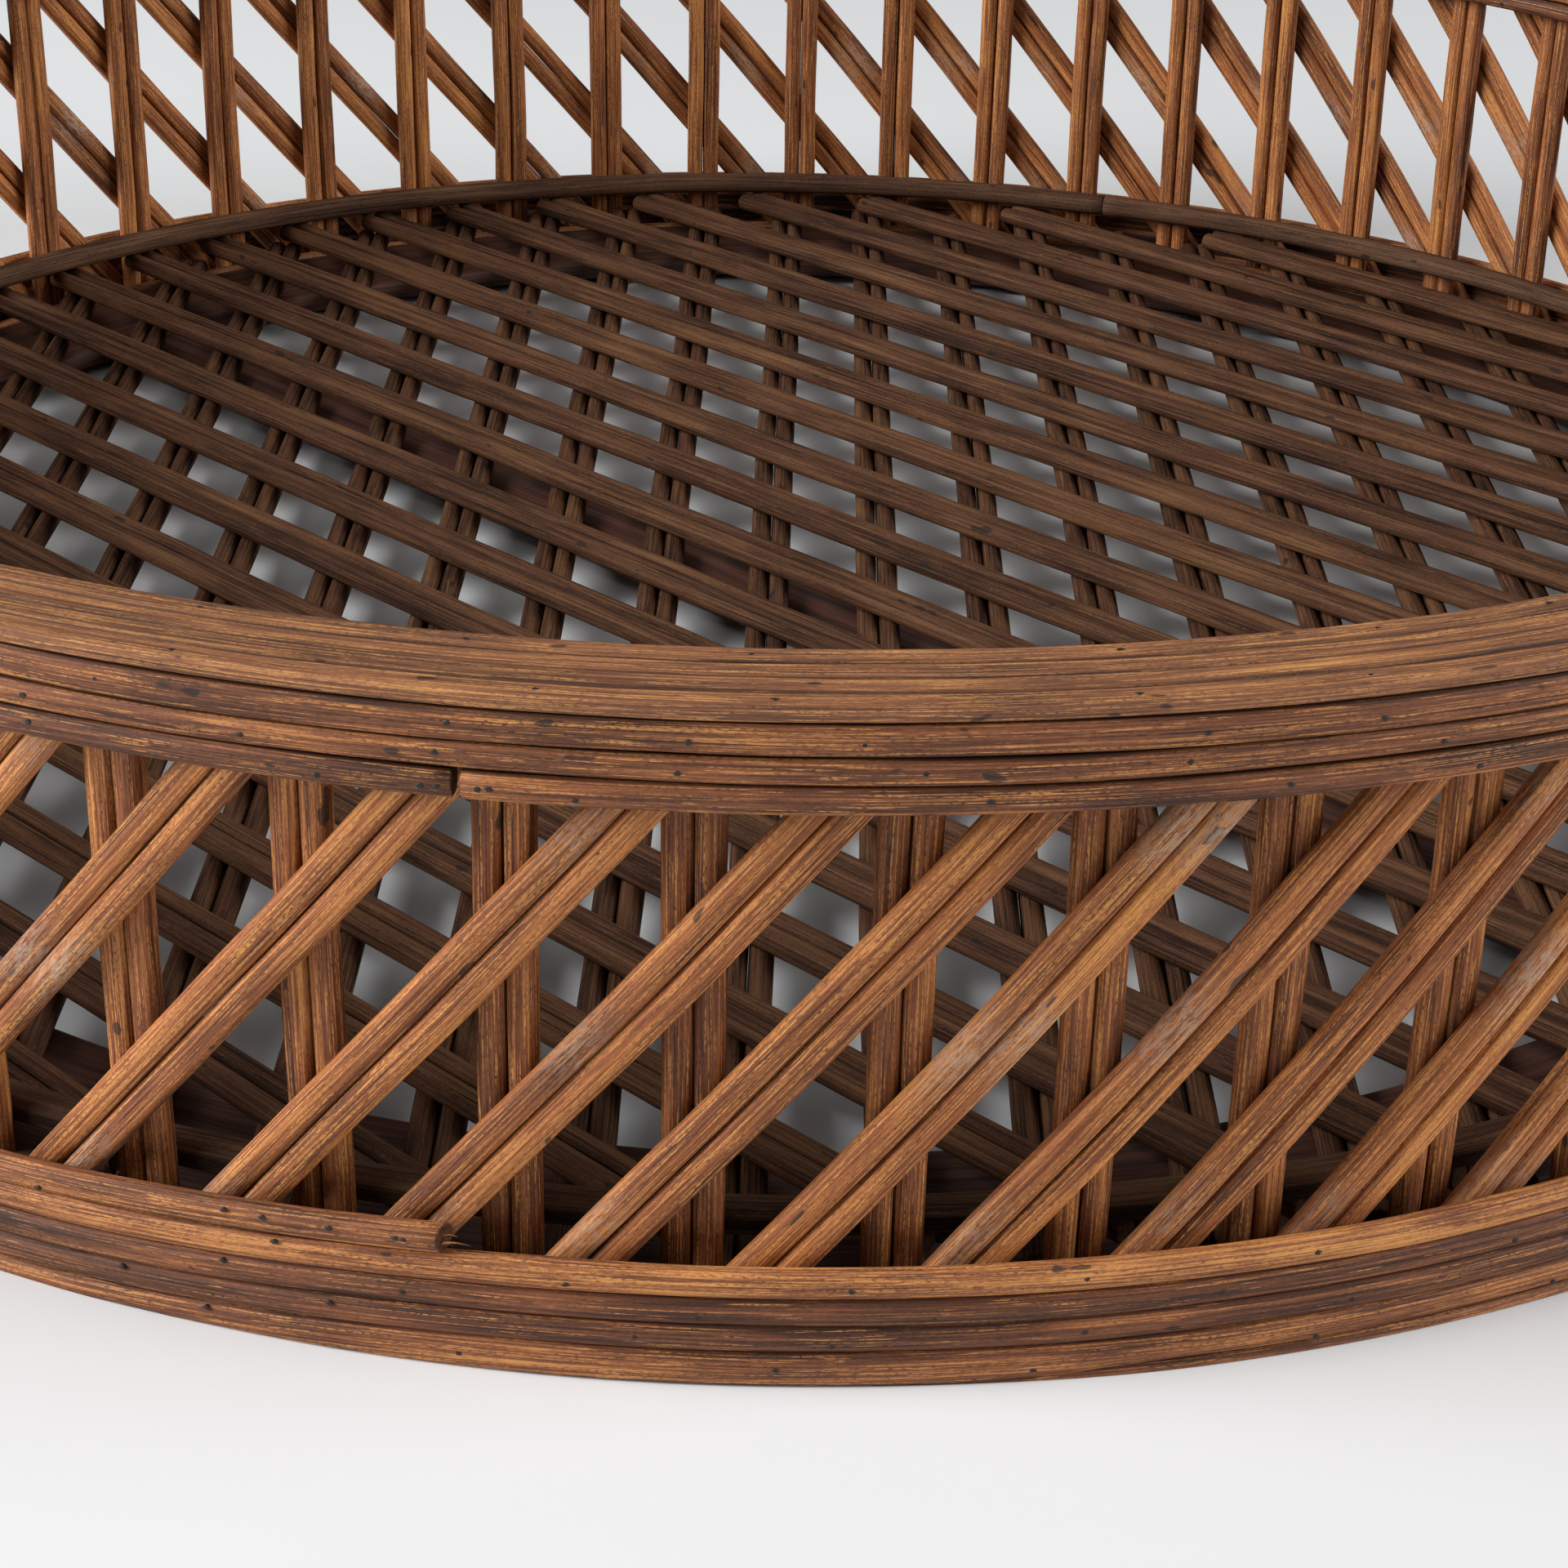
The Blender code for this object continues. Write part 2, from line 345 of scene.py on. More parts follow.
# Brad heads: noise, steel colours at two stops, torn fibres and roughness
STEEL_NOISE = (2200.0, 2200.0, 2.0, 0.55)
STEEL_STOPS = ((0.35, (0.006, 0.004, 0.003)), (0.65, (0.018, 0.012, 0.009)))
TORN_FIBRES = (0.035, 0.015, 0.009)
STEEL_ROUGHNESS = (0.7, 0.5)

# The pale floor: half its width, how far it lies below the foot, and its looks
FLOOR_HALF = 4.0
FLOOR_BELOW = 0.0001
FLOOR_NOISE = (3.0, 3.0, 2.0, 0.55)
FLOOR_STOPS = ((0.3, (0.845, 0.862, 0.875)), (0.7, (0.860, 0.877, 0.890)))
FLOOR_ROUGHNESS = 0.6

# Light: the sky's strength and colour, (name, place, size, power) of the lamps, their aim
SKY_STRENGTH = 0.16
SKY_COLOUR = (1.0, 1.0, 1.0, 1.0)
LAMPS = (
    ("left_lamp", (-2.0, -0.6, 1.15), 1.6, 72.0),
    ("right_lamp", (2.0, -0.4, 1.0), 1.6, 38.5),
)
LAMP_AIM = (0.0, 0.0, 0.03)

# Camera, in outer radii of the basket and radians, with its sensor and lens in millimetres
CAMERA_DISTANCE = 2.2954
CAMERA_HEIGHT = 1.0027
CAMERA_YAW = 0.0015
CAMERA_PITCH = 0.4692
CAMERA_ROLL = 0.0195
CAMERA_CLIP = 0.01
SENSOR = 36.0
LENS = 72.38

BASKET = bpy.data.collections.new("reed_tray_basket")
bpy.context.scene.collection.children.link(BASKET)
bpy.context.scene.view_settings.view_transform = "Standard"


# ------------ frame readings


def node_points(name):
    """The corners of a CAD node as an array."""
    return np.array([corner.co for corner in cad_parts[name].data.vertices])


def azimuth_of(points):
    """Azimuths of points, from -Y towards +X."""
    return np.arctan2(points[:, 0], -points[:, 1])


def ring_sizes(name):
    """Inner radius, outer radius, bottom and top of a hoop node."""
    points = node_points(name)
    radii = np.hypot(points[:, 0], points[:, 1])
    return radii.min(), radii.max(), points[:, 2].min(), points[:, 2].max()


def foot_azimuths(name):
    """Azimuths of the middles of the pairs that end at the bottom of a wall comb."""
    points = node_points(name)
    lowest = points[points[:, 2] < points[:, 2].min() + NEAR]
    turns = np.sort(np.mod(azimuth_of(lowest), FULL_TURN))
    breaks = np.where(np.diff(turns) > PAIR_BREAK)[0] + 1
    return [float(group.mean()) for group in np.split(turns, breaks)]


def straight_sizes(name):
    """Middle, direction, sideways direction, half length, bottom and top of a bar node."""
    points = node_points(name)
    middle = 0.5 * (points.min(axis=0) + points.max(axis=0))
    flat = points[:, :2] - points[:, :2].mean(axis=0)
    values, vectors = np.linalg.eigh(flat.T @ flat)
    direction = vectors[:, int(values.argmax())]
    reach = np.abs(flat @ direction).max()
    along = np.array([direction[0], direction[1], 0.0])
    sideways = np.array([-direction[1], direction[0], 0.0])
    return middle, along, sideways, reach, points[:, 2].min(), points[:, 2].max()


# ------------ reed meshes


def ease(low, high, value):
    """0 below low, 1 above high, smooth between them."""
    share = np.clip((value - low) / (high - low), 0.0, 1.0)
    return share * share * (3.0 - 2.0 * share)


def drift(rng, places, amount, wave):
    """A slow seeded wander along a reed."""
    total = np.zeros_like(places)
    for octave in range(DRIFT_WAVES):
        length = wave / (1.0 + DRIFT_SHORTER * octave) * rng.uniform(*DRIFT_SPREAD)
        total += amount / (1.0 + octave) * np.sin(FULL_TURN * (places / length + rng.random()))
    return total


def oval(sides, half_width, half_height, squareness=ROUND):
    """Outline of a reed as (across, up) offsets."""
    turns = (np.arange(sides) + 0.5) * FULL_TURN / sides
    power = 2.0 / squareness
    cosines, sines = np.cos(turns), np.sin(turns)
    across = half_width * np.sign(cosines) * np.abs(cosines) ** power
    up = half_height * np.sign(sines) * np.abs(sines) ** power
    return np.stack([across, up], axis=1)


def unit(vectors):
    """Vectors scaled to length one."""
    return vectors / np.linalg.norm(vectors, axis=-1, keepdims=True)


def doubled_ends(values):
    """Values of stations, with those of the two end stations there twice."""
    return np.concatenate([values[:1], values, values[-1:]])


def straight_up(count):
    """The upward direction for each station."""
    return np.repeat([[0.0, 0.0, 1.0]], count, axis=0)


def tube_quads(stations, sides):
    """Corner numbers of the stations' rings and the quads between them."""
    rings = np.arange(stations * sides).reshape(stations, sides)
    ahead = np.roll(rings, -1, axis=1)
    quads = np.stack([rings[:-1], ahead[:-1], ahead[1:], rings[1:]], axis=-1).reshape(-1, 4)
    return rings, quads


def contact_dirt_and_shade(outlines, contacts):
    """How dark each corner is painted, with dirt and painted shade, near the directions where
    another reed touches.
    """
    shares = outlines / np.abs(outlines).max(axis=(0, 1))
    crease = np.zeros(outlines.shape[:2])
    for direction in contacts:
        crease = np.maximum(crease, ease(*CONTACT_SHARES, shares @ unit(np.array(direction))))
    crease[[0, -1]] = CUT_END_DIRT
    return crease


def sweep(rng, path, across, up, outline, contacts=(), wear=None):
    """One reed: an outline carried along a path, with cut ends and material attributes.

    contacts are directions in the outline, as shares of its half sizes, where another
    reed touches and dirt and painted shade collect. wear is a share for each station.
    """
    count = len(path)
    outlines = np.broadcast_to(outline, (count, *np.shape(outline)[-2:])).copy()
    steps = np.linalg.norm(np.diff(path, axis=0), axis=1)
    lengths = np.concatenate([[0.0], np.cumsum(steps)])
    scale = 1.0 + drift(rng, lengths, *REED_SCALE)
    outlines *= scale[:, None, None]
    if wear is None:
        wear = np.zeros(count)

    # a small bevel at each cut end
    first = unit(path[1] - path[0])
    last = unit(path[-1] - path[-2])
    stationed = (path, across, up, outlines, lengths, wear)
    path, across, up, outlines, lengths, wear = map(doubled_ends, stationed)
    path[1] += first * CUT_END
    path[-2] -= last * CUT_END
    for end in (0, -1):
        middle = outlines[end].mean(axis=0)
        outlines[end] = middle + (outlines[end] - middle) * CUT_END_SIZE

    if np.dot(np.cross(across[0], up[0]), first) < 0.0:
        outlines = outlines[:, ::-1]
    points = path[:, None, :] + outlines[..., :1] * across[:, None, :]
    points = points + outlines[..., 1:] * up[:, None, :]
    crease = contact_dirt_and_shade(outlines, contacts)

    grain = np.empty((*outlines.shape[:2], 3))
    grain[..., 0] = lengths[:, None] + rng.uniform(0.0, GRAIN_STARTS)
    grain[..., 1:] = outlines
    stations, sides = crease.shape
    rings, quads = tube_quads(stations, sides)
    return {
        "points": points.reshape(-1, 3),
        "quads": quads,
        "caps": [rings[0][::-1], rings[-1]],
        "grain": grain.reshape(-1, 3),
        "crease": crease.reshape(-1),
        "wear": np.repeat(wear, sides),
        "tone": np.full(stations * sides, rng.gauss(0.0, TONE_SPREAD)),
    }


def add_piece(name, parts, material, nodes):
    """Joins swept parts into one named piece that stands for CAD nodes."""
    corners, faces, smooth = [], [], []
    offset = 0
    for part in parts:
        corners.append(part["points"])
        faces += (part["quads"] + offset).tolist()
        smooth += [True] * len(part["quads"])
        for cap in part["caps"]:
            faces.append((cap + offset).tolist())
            smooth.append(False)
        offset += len(part["points"])
    mesh = bpy.data.meshes.new(name)
    mesh.from_pydata(np.concatenate(corners).tolist(), [], faces)
    mesh.polygons.foreach_set("use_smooth", smooth)
    grain = mesh.attributes.new("grain", "FLOAT_VECTOR", "POINT")
    grain.data.foreach_set("vector", np.concatenate([p["grain"] for p in parts]).ravel())
    for key in ("crease", "wear", "tone"):
        values = mesh.attributes.new(key, "FLOAT", "POINT")
        values.data.foreach_set("value", np.concatenate([p[key] for p in parts]))
    mesh.materials.append(material)
    mesh.validate()
    piece = bpy.data.objects.new(name, mesh)
    BASKET.objects.link(piece)
    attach(piece, "root")
    if nodes:
        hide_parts(*nodes)


def wrapped(turns):
    """Azimuths brought between minus and plus half a turn."""
    return np.mod(turns + math.pi, FULL_TURN) - math.pi


def hand_spacing(turn, shifts):
    """An azimuth moved by the hand spacing near the front."""
    places, moves = zip(*shifts)
    nearest = math.degrees(float(wrapped(np.array(turn))))
    return turn + math.radians(float(np.interp(nearest, places, moves)))


def around(radius, turns, heights):
    """Points on a ring, with the outward and upward directions at each."""
    outward = np.stack([np.sin(turns), -np.cos(turns), np.zeros_like(turns)], axis=1)
    path = outward * np.reshape(radius, (-1, 1))
    path[:, 2] = heights
    return path, outward, straight_up(len(turns))


def hoop_reed(
    rng, sizes, squareness=ROUND, start=0.0, gap=BUTT_GAP, flat_top=None, contacts=()
):
    """One reed bent to a hoop whose ends butt, with a slow wander and a sanded top."""
    inner, outer, low, high = sizes
    turns = np.linspace(start + gap, start + FULL_TURN - gap, HOOP_STATIONS)
    middle = 0.5 * (inner + outer)
    places = (turns - start) * middle
    radius = middle + drift(rng, places, *HOOP_OUT)
    heights = 0.5 * (low + high) + drift(rng, places, *HOOP_UP)
    path, outward, up = around(radius, turns, heights)
    half_height = 0.5 * (high - low)
    if flat_top is not None:
        half_height = 0.5 * (flat_top - low) * BEFORE_SANDING
        heights = low + half_height + drift(rng, places, *SANDED_UP)
        path[:, 2] = heights
    outline = oval(HOOP_SIDES, 0.5 * (outer - inner), half_height, squareness)
    outlines = np.repeat(outline[None], HOOP_STATIONS, axis=0)
    if flat_top is not None:
        sanded = flat_top + drift(rng, places, *SANDED_TOP) - heights
        outlines[..., 1] = np.minimum(outlines[..., 1], sanded[:, None])
    return sweep(rng, path, outward, up, outlines, contacts)


# ------------ rim


def open_joint(node):
    """Azimuth of a hoop's open joint and half its gap, read from its ends."""
    points = node_points(node)
    turns = np.unique(np.round(azimuth_of(points), DIGITS))
    near = turns[np.abs(turns) < JOINT_SEARCH]
    narrowest = int(np.diff(near).argmin())
    left, right = near[narrowest], near[narrowest + 1]
    return 0.5 * (left + right), 0.5 * (right - left)


def build_rim(material, sanded_material):
    """The rim's eight hoops. The joints are at the back, but for the open one."""
    rng = random.Random(RIM_SEED)
    top = cad_high.z
    for row in RIM_ROWS:
        for side in ("outer", "inner"):
            node = f"rim_{side}_hoop_{row}"
            inner, outer, low, high = ring_sizes(node)
            hidden = INWARD if side == "outer" else OUTWARD
            contacts = (BELOW, hidden) if row == 1 else (BELOW, ABOVE, hidden)
            joint, gap = rng.uniform(*BACK_JOINTS), BUTT_GAP
            if node == JOINTED_HOOP:
                joint, gap = open_joint(node)
            reed = hoop_reed(
                rng,
                (inner, outer, low - PRESSED, high + PRESSED),
                squareness=SQUARISH if row in SQUARISH_ROWS else FLATTISH,
                start=joint,
                gap=gap,
                flat_top=top if row == 1 else None,
                contacts=contacts,
            )
            reed["tone"][:] = RIM_TONES[row - 1] + rng.uniform(*RIM_TONE_SPREAD)
            used = sanded_material if row == 1 else material
            add_piece(f"rim_{side}_reed_{row}", [reed], used, [node])


def build_filler(rng, node, name, material):
    """The sanded reed that closes the tops of one wall layer."""
    points = node_points(node)
    radii = np.hypot(points[:, 0], points[:, 1])
    top = points[:, 2].max()
    levels = np.unique(np.round(points[:, 2], DIGITS))
    low = levels[levels < top - FILLER_DEPTH].max()
    sizes = (radii.min() - FILLER_MORE, radii.max() + FILLER_MORE, low, top)
    reed = hoop_reed(
        rng,
        sizes,
        squareness=SQUARISH,
        start=rng.uniform(*BACK_JOINTS),
        flat_top=top,
        contacts=(INWARD, OUTWARD, BELOW),
    )
    reed["tone"][:] = RIM_TONES[0] + rng.uniform(*FILLER_TONE_SPREAD)
    add_piece(name, [reed], material, [node])


# ------------ wall


def wall_reed(rng, bow_seed, layer, start, head, side, worn_places=()):
    """One wall reed of a pair, from its foot at azimuth start to its head at azimuth head.

    layer is the inner radius, outer radius, bottom and top of the wall's layer. side is
    minus or plus one. worn_places are (share of the length, strength).
    """
    inner, outer, low, high = layer
    radius = 0.5 * (inner + outer)
    shares = np.linspace(0.0, 1.0, WALL_STATIONS)
    heights = low + (high - low) * shares
    rise = high - low
    run = (head - start) * radius
    lean = math.atan2(rise, run)
    length = math.hypot(rise, run)
    places = shares * length
    spread = side * PAIR_SPREAD / math.sin(lean) / radius
    bow = drift(random.Random(bow_seed), places, *WALL_PAIR_SIDE) / radius
    bow += drift(rng, places, *WALL_REED_SIDE) / radius
    turns = start + (head - start) * shares + spread + bow
    outwards = radius + drift(rng, places, *WALL_REED_OUT)
    path, outward, _ = around(outwards, turns, heights)
    along = unit(np.gradient(path, axis=0))
    across = unit(np.cross(along, outward))
    width = REED_WIDTH * rng.uniform(*WALL_WIDTHS)
    outline = oval(WALL_SIDES, 0.5 * width, 0.5 * (outer - inner), FLATTISH)
    rightward = (-outward[0, 1], outward[0, 0], 0.0)
    partner = float(np.sign(np.dot(across[0], rightward))) * -side
    wear = np.zeros(WALL_STATIONS)
    for share, strength in worn_places:
        distances = (shares - share) * length / WORN_LENGTH
        wear = np.maximum(wear, strength * np.exp(-(distances**2)))
    return sweep(rng, path, across, outward, outline, ((partner, 0.0),), wear)


def worn_crossings(rng, pitch):
    """Where one slanting reed is worn, near the uprights that it crosses."""
    worn = []
    for crossing in range(CROSSINGS):
        share = (crossing + 0.5) * pitch / SLANT_TURN
        if rng.random() < WORN_CHANCE:
            worn.append((share + rng.uniform(*WORN_SHIFTS), rng.uniform(*WORN_STRENGTHS)))
    return worn


def build_uprights(rng, seam, material):
    """The upright pairs."""
    inner, outer, low, _ = ring_sizes("wall_uprights")
    layer = (inner, outer, low, seam)
    reeds = []
    for turn in foot_azimuths("wall_uprights"):
        sway = rng.gauss(0.0, UPRIGHT_SWAY)
        bow_seed = rng.random()
        start = hand_spacing(turn, STAKE_SHIFTS)
        for side in (-1.0, 1.0):
            reeds.append(wall_reed(rng, bow_seed, layer, start, start + sway, side))
    add_piece("wall_upright_reeds", reeds, material, ["wall_uprights"])


def build_slants(rng, seam, material):
    """The slanting pairs, outside the upright ones."""
    inner, outer, low, _ = ring_sizes("wall_slants")
    layer = (inner, outer, low, seam)
    turns = foot_azimuths("wall_slants")
    pitch = FULL_TURN / len(turns)
    reeds = []
    for turn in turns:
        sway = rng.gauss(0.0, SLANT_SWAY)
        bow_seed = rng.random()
        moved = hand_spacing(turn, SLANT_SHIFTS)
        for side in (-1.0, 1.0):
            worn = worn_crossings(rng, pitch)
            head = turn + SLANT_TURN
            head_wave = math.sin(WANDER_WAVES * (head - HEAD_WANDER_AT))
            foot_wave = math.sin(WANDER_WAVES * (turn - FOOT_WANDER_AT))
            head += moved - turn + sway - HEAD_WANDER * head_wave
            start = moved - FOOT_WANDER * foot_wave
            reeds.append(wall_reed(rng, bow_seed, layer, start, head, side, worn))
    add_piece("wall_slant_reeds", reeds, material, ["wall_slants"])


def build_wall(upright_cane, slant_cane):
    """The two layers of the wall, up to the seam below the rim's top reeds."""
    rng = random.Random(WALL_SEED)
    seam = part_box("rim_outer_hoop_1")[0].z
    build_uprights(rng, seam, upright_cane)
    build_slants(rng, seam, slant_cane)


# ------------ foot


def foot_grooves():
    """Heights of the foot band's grooves, from the ground up, away from its loose end."""
    points = node_points("foot_band")
    radii = np.hypot(points[:, 0], points[:, 1])
    clear = points[:, 0] > CLEAR_OF_END
    levels = np.unique(np.round(points[clear, 2], DIGITS))
    narrow = []
    for level in levels:
        here = (np.abs(points[:, 2] - level) < NEAR) & clear
        if radii[here].max() < cad_high.x - GROOVE_DEPTH:
            narrow.append(float(level))
    return narrow


def foot_end():
    """Azimuth of the loose end of the foot reed."""
    points = node_points("foot_band")
    turns = azimuth_of(points[points[:, 2] > TAIL_ABOVE])
    return float(turns[turns < 0.0].max())


def turn_painted_light(back, sides):
    """The wound reed's painted light and shade, which changes from turn to turn."""
    turn_places = np.arange(len(FOOT_PAINTED_LIGHT_TONES)) * FULL_TURN
    return np.repeat(doubled_ends(np.interp(back, turn_places, FOOT_PAINTED_LIGHT_TONES)), sides)


def foot_sag(turns):
    """How far the winding sags at each azimuth."""
    leftwards = np.mod(-turns, FULL_TURN)
    sag = ease(SAG_NEAR, SAG_FULL, leftwards) * (1.0 - ease(SAG_FADE, SAG_END, leftwards))
    return SAG_DEPTH * sag


def foot_outlines(back, unwound, depth, half, half_width):
    """Outlines of the wound reed, pressed by its neighbours and sanded level below.

    back is the angle unwound so far from the loose end, and depth the height of the
    reed's middle above the ground.
    """
    loose = 1.0 - ease(*LOOSE_ANGLES, back)
    pressed = oval(HOOP_SIDES, half_width, half, WOUND)
    free = oval(HOOP_SIDES, half_width, half, ELLIPSE)
    outlines = pressed + (free - pressed) * loose[:, None, None]

    # the lowest turn reaches the ground, and the one above it takes over at its thin point
    wedge = WEDGE_FULL - WEDGE_START
    lowest = ease(unwound - FULL_TURN - wedge, unwound - FULL_TURN, back)
    stretch = 1.0 + (np.maximum(LOWEST_STRETCH * depth / half, 1.0) - 1.0) * lowest
    lower = outlines[..., 1] < 0.0
    outlines[..., 1] = np.where(lower, outlines[..., 1] * stretch[:, None], outlines[..., 1])
    full = half + depth
    thinned = POINT_THICKNESS + full * ease(0.0, wedge, unwound - back)
    upper = np.where(back > unwound - POINT_REACH, thinned, full) - depth
    outlines[..., 1] = np.clip(outlines[..., 1], -depth[:, None], upper[:, None])
    return outlines


def splinter(rng, root, direction, length, thickness):
    """A thin sliver of fibre standing off a cut end."""
    shares = np.linspace(0.0, 1.0, SPLINTER_STATIONS)
    direction = unit(np.array(direction, float))
    path = root + np.outer(shares * length, direction)
    path[:, 2] += SPLINTER_RISE * np.sin(SPLINTER_WAVE * shares)
    up = straight_up(len(shares))
    across = unit(np.cross(up, direction))
    sizes = thickness * (1.0 - SPLINTER_TAPER * shares)
    outlines = oval(SPLINTER_SIDES, *SPLINTER_HALVES)[None] * sizes[:, None, None]
    return sweep(rng, path, across, up, outlines)


def build_foot(material):
    """The foot reed: one long reed wound up the foot, its end left standing on the rest."""
    rng = random.Random(FOOT_SEED)
    _, outer, ground, tail_top = ring_sizes("foot_band")
    inner = outer - FOOT_THICKNESS
    end = foot_end()
    unwound = FULL_TURN * len(foot_grooves()) - (WEDGE_START - end)
    back = np.linspace(0.0, unwound, round(HOOP_STATIONS * unwound / FULL_TURN))
    turns = end - back
    places = back * outer
    half = 0.5 * FOOT_PITCH + FOOT_PRESSED
    heights = tail_top - FOOT_PITCH * (back / FULL_TURN + 0.5)
    heights += drift(rng, places, *FOOT_UP) - foot_sag(turns)
    radius = 0.5 * (inner + outer) + drift(rng, places, *FOOT_OUT)
    radius -= POINT_INSET * (1.0 - ease(0.0, WEDGE_FULL - WEDGE_START, unwound - back))
    path, outward, up = around(radius, turns, heights)
    half_width = 0.5 * (outer - inner)
    outlines = foot_outlines(back, unwound, heights - ground, half, half_width)
    reed = sweep(rng, path, outward, up, outlines, (BELOW, ABOVE, INWARD))
    # painted light and shade on the foot's turns, in place of the reed's random tone: top turn
    # lighter, middle turns darker
    reed["tone"] = turn_painted_light(back, HOOP_SIDES)

    # the loose end is cut at a slant and splintered
    forward = np.array((math.cos(end), math.sin(end), 0.0))
    tip = slice(0, 2 * HOOP_SIDES)
    from_inside = reed["grain"][tip, 1:2] + half_width
    reed["points"][tip] -= CUT_SLANT * from_inside * forward
    parts = [reed]
    for level, out, length, thickness in SPLINTERS:
        root = path[0] + outward[0] * out + (0.0, 0.0, level) - SPLINTER_ROOT * forward
        parts.append(splinter(rng, root, forward, length, thickness))
    add_piece("foot_wound_reed", parts, material, ["foot_band"])


def build_hidden_hoops(material, edge_material):
    """The stouter hoop on the floor's edge, against the wall, and the one below the floor."""
    rng = random.Random(HIDDEN_SEED)
    wall_inner = ring_sizes("wall_uprights")[0]
    inner, _, low, high = ring_sizes("floor_edge_hoop")
    edge = (inner - EDGE_MORE, wall_inner, low - 0.5 * EDGE_MORE, high + 0.5 * EDGE_MORE)
    reed = hoop_reed(rng, edge, start=rng.uniform(*BACK_JOINTS), contacts=(BELOW, OUTWARD))
    add_piece("floor_edge_reed", [reed], edge_material, ["floor_edge_hoop"])
    liner = ring_sizes("foot_liner_hoop")
    reed = hoop_reed(rng, liner, start=rng.uniform(*BACK_JOINTS), contacts=(BELOW, OUTWARD))
    add_piece("foot_liner_reed", [reed], material, ["foot_liner_hoop"])


# ------------ floor


def build_floor(material):
    """Two crossing layers of reed pairs."""
    rng = random.Random(FLOOR_SEED)
    nodes = sorted(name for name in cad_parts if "_pair_" in name)
    for node in nodes:
        middle, along, sideways, reach, low, high = straight_sizes(node)
        count = max(LEAST_STATIONS, round(2.0 * reach / FLOOR_STEP))
        places = np.linspace(-reach, reach, count)
        bow = drift(rng, places, *FLOOR_PAIR_SIDE)
        across = np.repeat(sideways[None], count, axis=0)
        reeds = []
        for side in (-1.0, 1.0):
            offset = side * PAIR_SPREAD + bow + drift(rng, places, *FLOOR_REED_SIDE)
            path = middle + places[:, None] * along + offset[:, None] * sideways
            path[:, 2] += drift(rng, places, *FLOOR_REED_UP)
            width = REED_WIDTH * rng.uniform(*FLOOR_WIDTHS)
            outline = oval(FLOOR_SIDES, 0.5 * width, 0.5 * (high - low))
            partner = (-side, 0.0)
            reeds.append(sweep(rng, path, across, straight_up(count), outline, (partner,)))
        name = node.replace("pair", "reeds")
        add_piece(name, reeds, material, [node])


def build_boards(material):
    """The flat ring and the flat batten under the floor, with eased edges."""
    rng = random.Random(BOARD_SEED)
    inner, outer, low, high = ring_sizes("under_floor_ring")
    half_height = 0.5 * (high - low)
    last = RING_JOINT + FULL_TURN - 2.0 * RING_GAP
    turns = np.linspace(RING_JOINT, last, HOOP_STATIONS)
    radius = np.full(HOOP_STATIONS, 0.5 * (inner + outer))
    path, outward, up = around(radius, turns, 0.5 * (low + high))
    outline = oval(BOARD_SIDES, 0.5 * (outer - inner) - BOARD_LESS, half_height, SAWN)
    ring = sweep(rng, path, outward, up, outline)
    add_piece("under_floor_ring_board", [ring], material, ["under_floor_ring"])

    middle, along, sideways, _, _, _ = straight_sizes("under_floor_batten")
    points = node_points("under_floor_batten")
    half_width = np.abs((points - middle) @ sideways).max()
    reach = np.abs((points - middle) @ along).max()
    places = np.linspace(-reach, reach, BOARD_STATIONS)
    path = middle + places[:, None] * along
    across = np.repeat(sideways[None], BOARD_STATIONS, axis=0)
    outline = oval(BOARD_SIDES, half_width, half_height, SAWN)
    batten = sweep(rng, path, across, straight_up(BOARD_STATIONS), outline)
    add_piece("under_floor_batten_board", [batten], material, ["under_floor_batten"])


# ------------ brads


def brad(rng, centre, normal, along):
    """A driven brad: a dark sunken head in a small ragged tear of fibres."""
    normal = unit(np.array(normal, float))
    along = unit(np.array(along, float))
    side = np.cross(normal, along)
    turns = np.arange(BRAD_SIDES) * FULL_TURN / BRAD_SIDES
    ragged = np.array([rng.uniform(*TORN_SIZES) for _ in turns])
    circles = []
    for reach, height, tear in BRAD_RINGS:
        size = BRAD_RADIUS * (reach + tear * (ragged - 1.0))
        stretch = 1.0 + TORN_STRETCH * tear
        circle = centre + normal * height
        circle = circle + np.outer(size * stretch * np.cos(turns), along)
        circle = circle + np.outer(size * np.sin(turns), side)
        circles.append(circle)
    points = np.concatenate(circles)
    rings, quads = tube_quads(len(circles), BRAD_SIDES)
    zeros = np.zeros(len(points))
    return {
        "points": points,
        "quads": quads,
        "caps": [rings[0][::-1], rings[-1]],
        "grain": points,
        "crease": np.repeat(BRAD_TORN, BRAD_SIDES),
        "wear": zeros,
        "tone": zeros,
    }


def directions_at(turn):
    """The outward direction at an azimuth and the direction along a hoop there."""
    outward = np.array([math.sin(turn), -math.cos(turn), 0.0])
    along = np.array([math.cos(turn), math.sin(turn), 0.0])
    return outward, along


def ring_brads(rng, count, start, radius, height, outward_sign):
    """Brads round a hoop, driven from outside or inside, a little unevenly."""
    made = []
    for index in range(count):
        turn = start + index * FULL_TURN / count + rng.uniform(-BRAD_STRAY, BRAD_STRAY)
        outward, along = directions_at(turn)
        centre = outward * radius
        centre[2] = height + rng.uniform(-BRAD_STRAY_UP, BRAD_STRAY_UP)
        made.append(brad(rng, centre, outward * outward_sign, along))
    return made


def top_brads(rng, node):
    """Brads driven down into a sanded top hoop."""
    inner, outer, _, _ = ring_sizes(node)
    made = []
    for index in range(TOP_BRADS):
        turn = index * FULL_TURN / TOP_BRADS + rng.uniform(-BRAD_STRAY, BRAD_STRAY)
        outward, along = directions_at(turn)
        centre = outward * 0.5 * (inner + outer)
        centre[2] = cad_high.z
        made.append(brad(rng, centre, (0.0, 0.0, 1.0), along))
    return made


